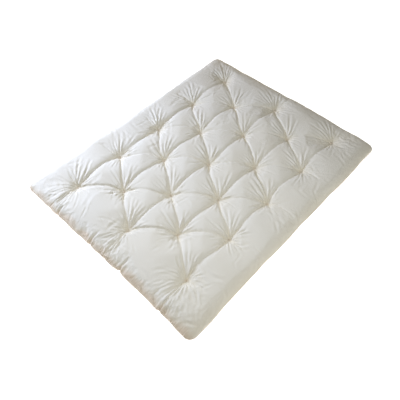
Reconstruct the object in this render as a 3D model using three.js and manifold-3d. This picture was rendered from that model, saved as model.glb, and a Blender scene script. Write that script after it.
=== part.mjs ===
// A tufted futon mattress: a casing of two cotton panels, four cotton batts and twenty-three ties.
//
// Millimetres, +Z up. The origin is on the floor, under the middle of the mattress. The length runs
// along X, with the hand-closed end at -X. Tufts stand in staggered rows along X: a long row, a
// short row between its gaps, and so on. Every tie draws the two panels together, so the casing
// swells into a pillow between each three ties and folds into a crease from tie to tie.

import * as THREE from 'three';
import { mergeVertices } from 'three/addons/utils/BufferGeometryUtils.js';
import Module from 'manifold-3d';

const wasm = await Module();
wasm.setup();

// Layout of the tufts
const tuft_pitch = 389;            // between two tufts of one row
const row_pitch = 265;             // between two rows
const closing_end_margin = 237;    // from the first tufts to the hand-closed end
const folded_end_margin = 207;     // from the last tufts to the other end
const side_margin = 270;           // from the outer rows to the long sides
const tuft_count = 5;              // in a long row
const long_row_count = 3;

// Heights over the floor, and thicknesses
const pillow_height = 80;          // top of a pillow between three tufts
const end_pillow_rise = 6;         // how much more the wide pillows at the ends swell
const side_pillow_rise = 4;        // the same along the sides
const corner_pillow_drop = 4;      // how much less the corner pillows swell
const tuft_waist = 28;             // thickness that is left at a tuft, over both panels
const tuft_recess = 14.5;          // from the lowest pillows up to the bottom panel at a tuft
const crease_recess = 4.5;         // the same along a crease
const floor_cut = 0.5;             // depth that the floor presses flat under each pillow

// The rolled edge
const seam_height = 30;            // of the seam between the two panels
const shoulder_rise = 34;          // from the seam up to where the edge turns into the top
const shoulder_crease_drop = 10;   // how much lower the shoulder is where a crease meets it
const shoulder_recess = 4;         // of the bottom panel over the floor, where the edge starts
const shoulder_inset = 42;         // from the outline in to the shoulder
const crease_draw = 9;             // how far a crease draws the outline in
const corner_radius = 60;

// Cloth, wadding and twine
const ticking = 1.6;               // thickness of a panel
const seam_allowance = 12;         // cloth turned in along the seam
const clearance = 0.3;             // between pieces that lie on each other
const batt_count = 4;
const twine_radius = 1.6;          // of a tie's doubled twine
const stitch_length = 14;          // of the bar stitch on top of a tuft
const knot_radius = 4.2;
const knot_height = 6;

// Shares of the sizes that they follow
const row_crease_share = 0.55;     // of a pillow's rise over its tufts, midway along a row
const diagonal_crease_share = 0.6;
const edge_crease_share = 0.55;
const ring_share = 0.5;            // place of a pillow's ring between its middle and its border
const dome_share = 0.84;           // of the rise, reached at that ring
const quarter_draw_share = 0.4;    // of crease_draw, between a crease and the swell beside it
const batt_reach_share = 0.5;      // of shoulder_inset, filled by the inner batts
const knot_waist_share = 0.7;      // of knot_radius, at the knot's ends
const knot_end_share = 0.17;       // of knot_height, that its rounded lower end takes
const stitch_tip_share = 0.6;      // of twine_radius, near the stitch's tips

// Facets
const edge_steps = 3;
const twine_sides = 6;
const widest_rim_step = THREE.MathUtils.degToRad(100);

// Derived sizes
const rows = 2 * long_row_count - 1;
const length = closing_end_margin + (tuft_count - 1) * tuft_pitch + folded_end_margin;
const width = 2 * side_margin + (rows - 1) * row_pitch;
const tuft_floor = Math.max(0, tuft_recess - floor_cut);
const crease_floor = Math.max(0, crease_recess - floor_cut);
const tuft_height = tuft_floor + tuft_waist;
const hole_radius = (twine_radius + clearance) / Math.cos(widest_rim_step / 2);

const cloth_look = { color: 0xe8e5db, roughness: 0.92, metalness: 0 };
const wadding_look = { color: 0xf3efe4, roughness: 1, metalness: 0 };
const twine_look = { color: 0xd9d3c1, roughness: 0.85, metalness: 0 };

// The plan: sites with a place and the two heights of the casing there

class Plan {
  constructor() {
    this.sites = [];
    this.faces = [];
    this.names = new Map();
  }

  // Adds a site, or gives the one that already has this name.
  site(name, x, y, top, bottom) {
    if (!this.names.has(name)) {
      this.names.set(name, this.sites.length);
      this.sites.push({ x, y, top, bottom });
    }
    return this.names.get(name);
  }

  face(a, b, c) {
    if (a !== b && b !== c && c !== a) this.faces.push([a, b, c]);
  }
}

// Tufts and their creases

function makeTufts() {
  const tufts = new Map();
  for (let row = 0; row < rows; row += 1) {
    const short = row % 2;
    for (let n = 0; n < tuft_count - short; n += 1) {
      const half = 2 * n + short;
      tufts.set(`${half},${row}`, {
        half,
        row,
        number: n + 1,
        x: -length / 2 + closing_end_margin + (half * tuft_pitch) / 2,
        y: width / 2 - side_margin - row * row_pitch,
        angles: [],
      });
    }
  }
  return tufts;
}

const tufts = makeTufts();
const tuftAt = (half, row) => tufts.get(`${half},${row}`);
const heading = (from, to) => Math.atan2(to.y - from.y, to.x - from.x);

function neighbours(tuft) {
  const steps = [[2, 0], [-2, 0], [1, 1], [1, -1], [-1, 1], [-1, -1]];
  return steps.map(([half, row]) => tuftAt(tuft.half + half, tuft.row + row)).filter(Boolean);
}

// The outline: stations round the edge, counter-clockwise from the corner at -X -Y

function sideStations(count, place, inward, creases) {
  const stations = [];
  creases.forEach((crease, n) => {
    stations.push({ kind: 'crease', tuft: crease.tuft, along: crease.along });
    if (n === creases.length - 1) return;
    const next = creases[n + 1].along;
    for (let k = 1; k <= count; k += 1) {
      const share = k / (count + 1);
      const along = crease.along + (next - crease.along) * share;
      stations.push({ kind: share === 0.5 ? 'swell' : 'quarter', along });
    }
  });
  return stations.map((station) => {
    const [x, y] = place(station.along);
    return { ...station, x, y, inward };
  });
}

function cornerStations(x, y, start) {
  return [0, 1, 2].map((step) => {
    const angle = THREE.MathUtils.degToRad(start + 45 * step);
    const out = [Math.cos(angle), Math.sin(angle)];
    return {
      kind: step === 1 ? 'corner' : 'quarter',
      corner: true,
      x: x + corner_radius * out[0],
      y: y + corner_radius * out[1],
      inward: [-out[0], -out[1]],
    };
  });
}

function makeOutline() {
  const last = 2 * (tuft_count - 1);
  const edge_x = length / 2;
  const edge_y = width / 2;
  const corner_x = edge_x - corner_radius;
  const corner_y = edge_y - corner_radius;
  const column = (row) => {
    const found = [];
    for (let half = 0; half <= last; half += 2) found.push(tuftAt(half, row));
    return found.map((tuft) => ({ tuft, along: tuft.x }));
  };
  const end = (half) => {
    const found = [];
    for (let row = 0; row < rows; row += 2) found.push(tuftAt(half, row));
    return found.map((tuft) => ({ tuft, along: tuft.y }));
  };
  const near = sideStations(1, (s) => [s, -edge_y], [0, 1], column(rows - 1));
  const folded = sideStations(3, (s) => [edge_x, s], [-1, 0], end(last).reverse());
  const far = sideStations(1, (s) => [s, edge_y], [0, -1], column(0).reverse());
  const closing = sideStations(3, (s) => [-edge_x, s], [1, 0], end(0));
  return [
    ...cornerStations(-corner_x, -corner_y, 180),
    ...near,
    ...cornerStations(corner_x, -corner_y, 270),
    ...folded,
    ...cornerStations(corner_x, corner_y, 0),
    ...far,
    ...cornerStations(-corner_x, corner_y, 90),
    ...closing,
  ];
}

const draws = { crease: crease_draw, quarter: crease_draw * quarter_draw_share, swell: 0, corner: 0 };

// One point of the rolled edge: turn is 0 at the seam and a quarter turn at the shoulder. side is
// 1 for the top panel and -1 for the bottom one, and depth lies behind the outer surface.
function edgePoint(station, turn, side, depth) {
  const drop = station.kind === 'crease' ? shoulder_crease_drop : 0;
  const lift = station.kind === 'crease' ? crease_floor : 0;
  const rise = side > 0 ? shoulder_rise - drop : seam_height - shoulder_recess - lift;
  const slope = [Math.cos(turn) / shoulder_inset, Math.sin(turn) / rise];
  const scale = depth / Math.hypot(slope[0], slope[1]);
  const draw = station.corner ? 0 : draws[station.kind];
  const inset = draw + shoulder_inset * (1 - Math.cos(turn)) + slope[0] * scale;
  return {
    x: station.x + station.inward[0] * inset,
    y: station.y + station.inward[1] * inset,
    z: seam_height + side * (rise * Math.sin(turn) - slope[1] * scale),
  };
}

const outline = makeOutline();
outline.forEach((station, n) => {
  station.name = `edge ${n}`;
  station.above = edgePoint(station, Math.PI / 2, 1, 0);
  station.below = edgePoint(station, Math.PI / 2, -1, 0);
  if (station.tuft) station.tuft.angles.push(heading(station.tuft, station.above));
});

// Each hole has a corner on each crease, and one more wherever two creases stand far apart.
function closeRim(tuft) {
  const angles = [...tuft.angles, ...neighbours(tuft).map((other) => heading(tuft, other))];
  angles.sort((a, b) => a - b);
  const rim = [];
  angles.forEach((angle, n) => {
    const turned = n === angles.length - 1 ? angles[0] + 2 * Math.PI : angles[n + 1];
    rim.push(angle);
    if (turned - angle > widest_rim_step) rim.push((angle + turned) / 2);
  });
  tuft.rim = rim;
}
tufts.forEach(closeRim);

// Pillows: each is a ring of tufts and stations, counter-clockwise

function innerPillows() {
  const found = [];
  tufts.forEach((tuft) => {
    const next = tuftAt(tuft.half + 2, tuft.row);
    const above = tuftAt(tuft.half + 1, tuft.row - 1);
    const below = tuftAt(tuft.half + 1, tuft.row + 1);
    if (next && above) found.push({ border: [tuft, next, above], height: pillow_height });
    if (next && below) found.push({ border: [tuft, below, next], height: pillow_height });
  });
  return found;
}

function edgePillows(stations) {
  const creases = stations.filter((station) => station.tuft);
  return creases.map((crease, n) => {
    const next = creases[(n + 1) % creases.length];
    const border = [];
    for (let k = stations.indexOf(crease); stations[k] !== next; k = (k + 1) % stations.length) {
      border.push(stations[k]);
    }
    border.push(next, next.tuft);
    let height = pillow_height + side_pillow_rise;
    if (next.tuft === crease.tuft) return { border, height: pillow_height - corner_pillow_drop };
    if (next.tuft.row !== crease.tuft.row) {
      const inner = crease.tuft.half === 0 ? 1 : -1;
      border.push(tuftAt(crease.tuft.half + inner, (crease.tuft.row + next.tuft.row) / 2));
      height = pillow_height + end_pillow_rise;
    }
    border.push(crease.tuft);
    return { border, height };
  });
}

// The site midway along the crease between two of a pillow's neighbours, if there is a crease.
function creaseSite(plan, a, b) {
  if (!a.rim && !b.rim) return null;
  const name = [a, b].map((end) => end.name ?? `tuft ${end.half},${end.row}`).sort().join(' to ');
  const from = a.above ?? a;
  const to = b.above ?? b;
  let share = edge_crease_share;
  if (a.rim && b.rim) share = a.row === b.row ? row_crease_share : diagonal_crease_share;
  const top = tuft_height + (pillow_height - tuft_height) * share;
  return plan.site(name, (from.x + to.x) / 2, (from.y + to.y) / 2, top, crease_floor);
}

// The sites where a pillow meets one of its neighbours. At a tuft they go round the hole's rim,
// clockwise, from the crease that comes in to the crease that goes out.
function cornerSites(plan, before, corner, after) {
  if (!corner.rim) {
    const { above, below } = corner;
    return [plan.site(corner.name, above.x, above.y, above.z, below.z)];
  }
  const first = heading(corner, before.above ?? before);
  const swept = (first - heading(corner, after.above ?? after) + 2 * Math.PI) % (2 * Math.PI);
  const passed = corner.rim
    .map((angle) => ({ angle, turned: (first - angle + 4 * Math.PI + 1e-9) % (2 * Math.PI) }))
    .filter(({ turned }) => turned < swept + 1e-6)
    .sort((a, b) => a.turned - b.turned);
  return passed.map(({ angle }) => plan.site(
    `tuft ${corner.half},${corner.row} rim ${angle.toFixed(6)}`,
    corner.x + hole_radius * Math.cos(angle),
    corner.y + hole_radius * Math.sin(angle),
    tuft_height,
    tuft_floor,
  ));
}

// Adds a pillow to the plan. A full pillow has a ring midway up its dome; a plain one has not, and
// so lies inside the full one. The floor cuts every pillow flat from its middle out to the ring.
function addPillow(plan, pillow, number, full) {
  const { border, height } = pillow;
  const parts = [];
  border.forEach((corner, n) => {
    const before = border[(n + border.length - 1) % border.length];
    const after = border[(n + 1) % border.length];
    const ringed = Boolean(corner.rim) || corner.kind !== 'quarter';
    parts.push({ sites: cornerSites(plan, before, corner, after), ringed });
    const crease = creaseSite(plan, corner, after);
    if (crease !== null) parts.push({ sites: [crease], ringed: false });
  });
  const main = border.filter((corner) => corner.kind !== 'quarter');
  const ends = main.map((corner) => corner.above ?? corner);
  const middle_x = ends.reduce((sum, end) => sum + end.x, 0) / ends.length;
  const middle_y = ends.reduce((sum, end) => sum + end.y, 0) / ends.length;
  const middle = plan.site(`pillow ${number}`, middle_x, middle_y, height, 0);
  if (!full) {
    const round = parts.flatMap((part) => part.sites);
    round.forEach((site, n) => plan.face(site, round[(n + 1) % round.length], middle));
    return;
  }
  parts.filter((part) => part.ringed).forEach((part, n) => {
    const group = part.sites.map((site) => plan.sites[site]);
    const mean = (key) => group.reduce((sum, site) => sum + site[key], 0) / group.length;
    part.ring = plan.site(
      `pillow ${number} ring ${n}`,
      middle_x + (mean('x') - middle_x) * ring_share,
      middle_y + (mean('y') - middle_y) * ring_share,
      mean('top') + (height - mean('top')) * dome_share,
      0,
    );
  });
  const start = parts.findIndex((part) => part.ringed);
  let ring = parts[start].ring;
  let held = parts[start].sites.at(-1);
  for (let n = 1; n <= parts.length; n += 1) {
    const part = parts[(start + n) % parts.length];
    if (part.ringed) {
      plan.face(held, part.ring, ring);
      plan.face(held, part.sites[0], part.ring);
      plan.face(ring, part.ring, middle);
      ring = part.ring;
      part.sites.forEach((site, k) => plan.face(site, part.sites[k + 1] ?? site, ring));
    } else {
      plan.face(held, part.sites[0], ring);
    }
    held = part.sites.at(-1);
  }
}

function makePlan(stations, full) {
  const plan = new Plan();
  const pillows = [...innerPillows(), ...edgePillows(stations)];
  pillows.forEach((pillow, n) => addPillow(plan, pillow, n, full));
  return plan;
}

// Closed bodies

// Closes two sheets over the same faces into one body, with a wall along every open border.
function closeSheets(faces, upper, lower) {
  const points = [...upper, ...lower];
  const shift = upper.length;
  const edges = new Set();
  faces.forEach(([a, b, c]) => [[a, b], [b, c], [c, a]].forEach((edge) => edges.add(edge.join())));
  const index = [];
  faces.forEach(([a, b, c]) => {
    index.push(a, b, c);
    index.push(c + shift, b + shift, a + shift);
    [[a, b], [b, c], [c, a]].forEach(([from, to]) => {
      if (edges.has(`${to},${from}`)) return;
      index.push(to, from, from + shift);
      index.push(to, from + shift, to + shift);
    });
  });
  const geometry = new THREE.BufferGeometry();
  const flat = points.flatMap((point) => [point.x, point.y, point.z]);
  geometry.setAttribute('position', new THREE.Float32BufferAttribute(flat, 3));
  geometry.setIndex(index);
  geometry.computeVertexNormals();
  return geometry;
}

// A panel: the pillows, the rolled edge down or up to the seam, and the allowance turned in there.
function panelGeometry(side) {
  const plan = makePlan(outline, true);
  const outer = plan.sites.map((site) => ({ x: site.x, y: site.y, z: side > 0 ? site.top : site.bottom }));
  const inner = outer.map((point) => ({ ...point, z: point.z - side * ticking }));
  const faces = [...plan.faces];
  let held = outline.map((station) => plan.names.get(station.name));
  for (let step = edge_steps - 1; step >= 0; step -= 1) {
    const turn = (step / edge_steps) * (Math.PI / 2);
    const ring = outline.map((station) => {
      const seam = step === 0;
      const face = edgePoint(station, turn, side, 0);
      const back = edgePoint(station, turn, side, seam ? seam_allowance : ticking);
      if (seam) {
        face.z += (side * clearance) / 2;
        back.z = face.z;
      }
      outer.push(face);
      inner.push(back);
      return outer.length - 1;
    });
    ring.forEach((site, n) => {
      const next = (n + 1) % ring.length;
      faces.push([held[n], site, ring[next]]);
      faces.push([held[n], ring[next], held[next]]);
    });
    held = ring;
  }
  return side > 0 ? closeSheets(faces, outer, inner) : closeSheets(faces, inner, outer);
}

// A batt: one of the equal layers between the panels. Layers that touch no panel have a border that
// reaches out into the rolled edge.
function battGeometry(layer) {
  const stations = outline.filter((station) => station.kind !== 'quarter');
  const plan = makePlan(stations, false);
  if (layer > 0 && layer < batt_count - 1) {
    const reach = shoulder_inset * batt_reach_share;
    const rim = stations.map((station) => plan.names.get(station.name));
    const border = stations.map((station, n) => {
      const { x, y, top, bottom } = plan.sites[rim[n]];
      const [inward_x, inward_y] = station.inward;
      return plan.site(`${station.name} out`, x - inward_x * reach, y - inward_y * reach, top, bottom);
    });
    border.forEach((site, n) => {
      const next = (n + 1) % border.length;
      plan.face(rim[n], site, border[next]);
      plan.face(rim[n], border[next], rim[next]);
    });
  }
  const level = (share, gap) => plan.sites.map((site) => {
    const low = site.bottom + ticking;
    const high = site.top - ticking;
    return { x: site.x, y: site.y, z: low + (high - low) * share + gap };
  });
  const under = layer === 0 ? clearance : clearance / 2;
  const over = layer === batt_count - 1 ? clearance : clearance / 2;
  return closeSheets(plan.faces, level((layer + 1) / batt_count, -over), level(layer / batt_count, under));
}

// A tie: the bar stitch that lies in the dimple along a diagonal crease, the doubled twine that goes
// down through the filling, and the knot under the bottom panel, as one body

function turned(points) {
  const profile = points.map(([radius, height]) => new THREE.Vector2(radius, height));
  const geometry = new THREE.LatheGeometry(profile, twine_sides);
  geometry.rotateX(Math.PI / 2);
  return geometry;
}

function toSolid(geometry) {
  const bare = geometry.clone();
  bare.deleteAttribute('normal');
  bare.deleteAttribute('uv');
  const merged = mergeVertices(bare, clearance / 100);
  const triangles = [];
  const index = merged.getIndex().array;
  for (let n = 0; n < index.length; n += 3) {
    const [a, b, c] = [index[n], index[n + 1], index[n + 2]];
    if (a !== b && b !== c && c !== a) triangles.push(a, b, c);
  }
  return new wasm.Manifold(new wasm.Mesh({
    numProp: 3,
    vertProperties: new Float32Array(merged.getAttribute('position').array),
    triVerts: new Uint32Array(triangles),
  }));
}

function fromSolid(solid) {
  const mesh = solid.getMesh();
  const geometry = new THREE.BufferGeometry();
  geometry.setAttribute('position', new THREE.BufferAttribute(mesh.vertProperties, 3));
  geometry.setIndex(new THREE.BufferAttribute(mesh.triVerts, 1));
  geometry.computeVertexNormals();
  return geometry;
}

function tieGeometry() {
  const reach = stitch_length / 2;
  const crease_rise = (pillow_height - tuft_height) * diagonal_crease_share;
  const crease_run = Math.hypot(tuft_pitch / 2, row_pitch) / 2;
  const pillow_run = (row_pitch / 2) * ring_share;
  const pillow_rise = (pillow_height - tuft_height) * dome_share;
  const end_lift = (Math.max(0, reach - hole_radius) * crease_rise) / crease_run;
  const side_lift = (twine_radius * ring_share * pillow_rise) / pillow_run;
  const stitch_z = tuft_height + clearance + end_lift + side_lift + twine_radius;
  const knot_top = tuft_floor - clearance;
  const knot_bottom = knot_top - knot_height;
  const waist = knot_radius * knot_waist_share;
  const body = turned([
    [0, knot_bottom],
    [waist, knot_bottom + knot_height * knot_end_share],
    [knot_radius, knot_bottom + knot_height / 2],
    [waist, knot_top],
    [twine_radius, knot_top],
    [twine_radius, stitch_z],
    [0, stitch_z],
  ]);
  const tip = twine_radius * stitch_tip_share;
  const stitch = turned([
    [0, -reach],
    [tip, -reach + twine_radius - tip],
    [twine_radius, -reach + twine_radius],
    [twine_radius, reach - twine_radius],
    [tip, reach - twine_radius + tip],
    [0, reach],
  ]);
  stitch.rotateY(Math.PI / 2);
  stitch.rotateZ(Math.atan2(row_pitch, tuft_pitch / 2));
  stitch.translate(0, 0, stitch_z);
  return fromSolid(toSolid(body).add(toSolid(stitch)));
}

// The mattress

function makePiece(name, geometry, look) {
  const mesh = new THREE.Mesh(geometry, new THREE.MeshStandardMaterial(look));
  mesh.name = name;
  return mesh;
}

function makeCasing() {
  const casing = new THREE.Group();
  casing.add(makePiece('cover_top_panel', panelGeometry(1), cloth_look));
  casing.add(makePiece('cover_bottom_panel', panelGeometry(-1), cloth_look));
  return casing;
}

function makeFilling() {
  const filling = new THREE.Group();
  for (let layer = 0; layer < batt_count; layer += 1) {
    filling.add(makePiece(`cotton_batt_${layer + 1}`, battGeometry(layer), wadding_look));
  }
  return filling;
}

function makeTies() {
  const ties = new THREE.Group();
  const geometry = tieGeometry();
  const letters = 'abcdefghijklmnopqrstuvwxyz';
  tufts.forEach((tuft) => {
    const tie = makePiece(`tuft_tie_${letters[tuft.row]}${tuft.number}`, geometry, twine_look);
    tie.position.set(tuft.x, tuft.y, 0);
    ties.add(tie);
  });
  return ties;
}

const mattress = new THREE.Group();
mattress.add(makeCasing(), makeFilling(), makeTies());

export default mattress;
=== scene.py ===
"""A tufted futon mattress on a pale floor.

The casing is two panels of unbleached cotton ticking, sewn together round the edge and closed by
hand at one end. Four batts of cotton wadding fill it, and twenty-three ties of cotton twine draw
the panels together. Metres, +Z up, with the length along X and the hand-closed end at -X.
"""

import math

import bmesh
import bpy
import numpy as np
from mathutils import Matrix, Vector


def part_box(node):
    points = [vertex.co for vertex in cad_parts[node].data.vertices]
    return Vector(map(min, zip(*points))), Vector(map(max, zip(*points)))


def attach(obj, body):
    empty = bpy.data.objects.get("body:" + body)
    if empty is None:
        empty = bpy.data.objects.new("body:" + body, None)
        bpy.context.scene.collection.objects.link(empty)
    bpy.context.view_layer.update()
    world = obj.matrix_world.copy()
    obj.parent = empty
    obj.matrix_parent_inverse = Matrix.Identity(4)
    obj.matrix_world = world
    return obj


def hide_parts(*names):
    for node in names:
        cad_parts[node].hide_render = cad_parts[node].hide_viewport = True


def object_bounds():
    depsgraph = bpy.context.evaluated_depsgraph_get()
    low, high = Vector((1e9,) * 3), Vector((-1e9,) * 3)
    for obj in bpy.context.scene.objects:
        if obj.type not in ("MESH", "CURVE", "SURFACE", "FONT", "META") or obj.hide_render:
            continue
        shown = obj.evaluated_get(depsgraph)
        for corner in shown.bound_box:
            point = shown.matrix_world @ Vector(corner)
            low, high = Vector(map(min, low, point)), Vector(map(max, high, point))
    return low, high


bl_info = {
    "name": "Tufted Futon Mattress",
    "version": (1, 0, 0),
    "blender": (4, 5, 0),
    "location": "3D View > Sidebar > Mattress",
    "description": "Models the casing, filling, ties and closing seam of a futon mattress",
    "category": "Object",
}

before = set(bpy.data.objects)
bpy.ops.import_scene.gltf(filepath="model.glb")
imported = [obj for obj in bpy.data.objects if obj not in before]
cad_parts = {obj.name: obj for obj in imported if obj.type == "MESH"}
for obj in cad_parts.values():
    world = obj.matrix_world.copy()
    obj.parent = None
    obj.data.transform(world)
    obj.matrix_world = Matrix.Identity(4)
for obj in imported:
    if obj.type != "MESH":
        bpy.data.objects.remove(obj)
CAD_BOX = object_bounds()
LOW, HIGH = CAD_BOX
HALF_LENGTH = (HIGH.x - LOW.x) / 2
HALF_WIDTH = (HIGH.y - LOW.y) / 2

# Each tie stands where its node does. Its name ends in the row's letter and the number in the row.
TIES = sorted(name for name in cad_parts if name.startswith("tuft_tie_"))
TUFTS = np.array([((a.x + b.x) / 2, (a.y + b.y) / 2) for a, b in map(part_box, TIES)])

# Heights over the floor
TUFT_TOP = 0.042
TUFT_UNDER = 0.014
SEAM_HEIGHT = 0.030
FLOOR_GAP = 0.0004

# How far apart two tufts may stand and still share a crease
CREASE_REACH = 0.42


def length_prop(name, description, default):
    return bpy.props.FloatProperty(
        name=name, description=description, default=default, unit="LENGTH")


def color_prop(name, description, default):
    return bpy.props.FloatVectorProperty(
        name=name, description=description, default=default, subtype="COLOR")


class CasingSizes(bpy.types.PropertyGroup):
    crown: length_prop("Crown", "Height of a pillow's middle over the floor", 0.081)
    end_inset: length_prop("End inset", "How far in the ends reach their full height", 0.16)
    side_inset: length_prop("Side inset", "How far in the sides reach their full height", 0.060)
    edge_power: bpy.props.FloatProperty(
        name="Edge power", description="Shape of the rolled edge: 1 is an ellipse, less is squarer",
        default=0.80)
    slump: bpy.props.FloatProperty(
        name="Slump", description="How much of its height the -Y side has lost at its edge",
        default=0.48)
    corner_radii: bpy.props.FloatVectorProperty(
        name="Corner radii", description="Radii of the outline's corners, from -X -Y round to -X +Y",
        default=(0.050, 0.060, 0.018, 0.045), size=4, unit="LENGTH")
    cell: length_prop("Cell", "Size of the cloth's mesh cells", 0.0042)
    loose_cells: bpy.props.IntProperty(
        name="Cells per simulated cell", description="How many cells the simulated cloth joins",
        default=2)
    cloth: length_prop("Cloth", "Thickness of the ticking", 0.0016)
    dimple: length_prop("Dimple", "Radius of the dimple round each tie", 0.25)
    pinch: length_prop("Pinch", "Radius of the steep pit at the bottom of a dimple", 0.055)
    row_crease: length_prop("Row crease", "Depth of a crease between two ties of a row", 0.016)
    diagonal_crease: length_prop("Diagonal crease", "Depth of a crease between two rows", 0.013)
    pleat: length_prop("Pleat", "Depth of the deepest pleats round a tie", 0.0076)
    slack: length_prop("Slack", "Depth of the deepest shallow folds over the pillows", 0.0022)
    gather: length_prop("Gather", "Depth of the gathers along the closed end", 0.0028)


class TieSizes(bpy.types.PropertyGroup):
    strand: length_prop("Strand", "Radius of one strand of the twine", 0.0009)
    stitch: length_prop("Stitch", "Half the length of a bar stitch on top of a tuft", 0.0085)
    knot: length_prop("Knot", "Radius of the knot under a tuft", 0.0042)
    tail: length_prop("Tail", "Length of the cut ends at a knot", 0.024)
    twist: length_prop("Twist", "Length of one turn of the twine's two plies", 0.0045)
    closing_pitch: length_prop("Closing pitch", "From one stitch of the closed end to the next", 0.0085)
    closing_reach: length_prop("Closing reach", "How far in from the edge such a stitch goes", 0.0055)


class Finishes(bpy.types.PropertyGroup):
    ticking: color_prop("Ticking", "Colour of the casing's cotton", (0.80, 0.785, 0.745))
    # Painted shade: the brown colour mixed in at the ties' pits, beside the seam and over the closed
    # end
    painted_shade_color: color_prop("Painted shade", "Colour painted where the cloth lies in shade", (0.70, 0.60, 0.49))
    wadding: color_prop("Wadding", "Colour of the filling", (0.86, 0.82, 0.72))
    twine: color_prop("Twine", "Colour of the ties and stitches", (0.74, 0.69, 0.57))
    weave: length_prop("Weave", "Distance between two threads of the ticking", 0.0009)


class StageSettings(bpy.types.PropertyGroup):
    lens: bpy.props.FloatProperty(
        name="Lens", description="Focal length of the camera",
        default=41.45, unit="CAMERA")
    floor_size: bpy.props.FloatProperty(
        name="Floor size", description="Side of the floor",
        default=40.0, unit="LENGTH")


# Helpers

def span(low, high, share):
    return low + (high - low) * share


def pointing(heading):
    return np.array([math.cos(heading), math.sin(heading)])


def run_along(points):
    """How far along the line through the points each of them lies."""
    steps = np.linalg.norm(np.diff(points, axis=0), axis=1)
    return np.concatenate([[0], np.cumsum(steps)])


def grid_window(p, q, ends_p, ends_q, reach):
    """The part of the grid that comes within reach of a stretch of each axis."""
    columns = np.searchsorted(p, [min(ends_p) - reach, max(ends_p) + reach])
    rows = np.searchsorted(q, [min(ends_q) - reach, max(ends_q) + reach])
    return slice(*rows), slice(*columns)


def away_from(place, p, q):
    """How far each point of the grid lies from a place."""
    return np.hypot(p[None, :] - place[0], q[:, None] - place[1])


def add_object(name, data):
    piece = bpy.data.objects.new(name, data)
    bpy.context.scene.collection.objects.link(piece)
    return piece


def add_mesh(name, bm):
    """An object made of a finished bmesh, which is freed."""
    mesh = bpy.data.meshes.new(name)
    bm.to_mesh(mesh)
    bm.free()
    return add_object(name, mesh)


# Creases, pleats and gathers


def puff(share, sharpness=0.7):
    """The depth of a valley between two stuffed pillows: 1 on its line and 0 at its rim."""
    inside = np.clip(1 - share, 0, 1)
    return 1 - (1 - inside ** 2) ** sharpness


class Fold:
    """A line in the cloth from start to end, bowed to one side, in the sheet's flat plan."""

    def __init__(self, start, end, bow=0.0, sway=0.0):
        self.start = np.array(start, float)
        self.run = np.array(end, float) - self.start
        self.length = float(np.hypot(*self.run))
        self.bow = bow
        self.sway = sway

    def place(self, p, q, reach):
        """The part of the grid near the line, with the share along the line and the offset."""
        line_p = [self.start[0], self.start[0] + self.run[0]]
        line_q = [self.start[1], self.start[1] + self.run[1]]
        window = grid_window(p, q, line_p, line_q, reach + abs(self.bow) + abs(self.sway))
        away_p = p[window[1]][None, :] - self.start[0]
        away_q = q[window[0]][:, None] - self.start[1]
        unit = self.run / self.length
        along = (away_p * unit[0] + away_q * unit[1]) / self.length
        inside = np.clip(along, 0, 1)
        curve = self.bow * 4 * inside * (1 - inside) + self.sway * np.sin(2 * math.pi * inside)
        across = away_q * unit[0] - away_p * unit[1] - curve
        return window, along, across


def neighbours():
    """Each pair of tufts that a crease joins, and which way the crease runs."""
    for n, a in enumerate(TUFTS):
        for m in range(n + 1, len(TUFTS)):
            step = TUFTS[m] - a
            if np.hypot(*step) < CREASE_REACH:
                level = abs(step[1]) < 0.001
                yield n, m, "row" if level else "falling" if step[0] > 0 else "rising"


def crease_bends():
    """How far each crease bows to its left, and how far it sways into an S."""
    draw = np.random.default_rng(17)
    ranges = {"row": (0.000, 0.022), "rising": (-0.014, 0.014), "falling": (0.008, 0.026)}
    return {
        (n, m): (draw.uniform(*ranges[kind]), draw.uniform(-0.009, 0.009))
        for n, m, kind in neighbours()
    }


BENDS = crease_bends()


def edge_ends():
    """Each outer tuft with the point of the outline that its crease runs to."""
    far_p, far_q = TUFTS[:, 0], TUFTS[:, 1]
    near = 0.001
    for n, (p, q) in enumerate(TUFTS):
        if q > far_q.max() - near:
            yield n, (p, HALF_WIDTH)
        if q < far_q.min() + near:
            yield n, (p, -HALF_WIDTH)
        if p < far_p.min() + near:
            yield n, (-HALF_LENGTH, q)
        if p > far_p.max() - near:
            yield n, (HALF_LENGTH, q)


def headings():
    """For each tuft, the sorted directions of its creases."""
    found = [[] for _ in TUFTS]
    for n, m, _ in neighbours():
        step = TUFTS[m] - TUFTS[n]
        found[n].append(math.atan2(step[1], step[0]))
        found[m].append(math.atan2(-step[1], -step[0]))
    for n, end in edge_ends():
        step = np.array(end) - TUFTS[n]
        found[n].append(math.atan2(step[1], step[0]))
    return [sorted(angles) for angles in found]


class Roll:
    """How the sheet rolls down from its full height to the seam, along one of its two ways."""

    def __init__(self, inset, rise, power, half):
        self.inset = inset
        self.power = power
        self.half = half
        self.turns = np.linspace(0, math.pi / 2, 400)
        level = inset * np.cos(self.turns).clip(0) ** power
        height = rise * np.sin(self.turns) ** power
        steps = np.hypot(np.diff(level), np.diff(height))
        self.from_edge = np.concatenate([[0], np.cumsum(steps)])
        self.arc = self.from_edge[-1]
        self.half_flat = half + self.arc - inset

    def place(self, along):
        """Where a line of the sheet lies, how high from 0 to 1, and how near the seam from 0 to 1."""
        from_edge = self.half_flat - np.abs(along)
        turn = np.interp(from_edge, self.from_edge, self.turns)
        low = np.cos(turn).clip(0)
        inset = np.where(
            from_edge < self.arc,
            self.inset * (1 - low ** self.power),
            self.inset + from_edge - self.arc,
        )
        return np.sign(along) * (self.half - inset), np.sin(turn) ** self.power, low


# How far each corner of the mattress lies from where a true rectangle would have it
CORNER_SHIFTS = [
    (1, -1, -0.028, 0.004), (-1, -1, -0.022, -0.014), (-1, 1, 0.004, 0.010), (1, 1, 0.0, 0.002),
]


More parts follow.
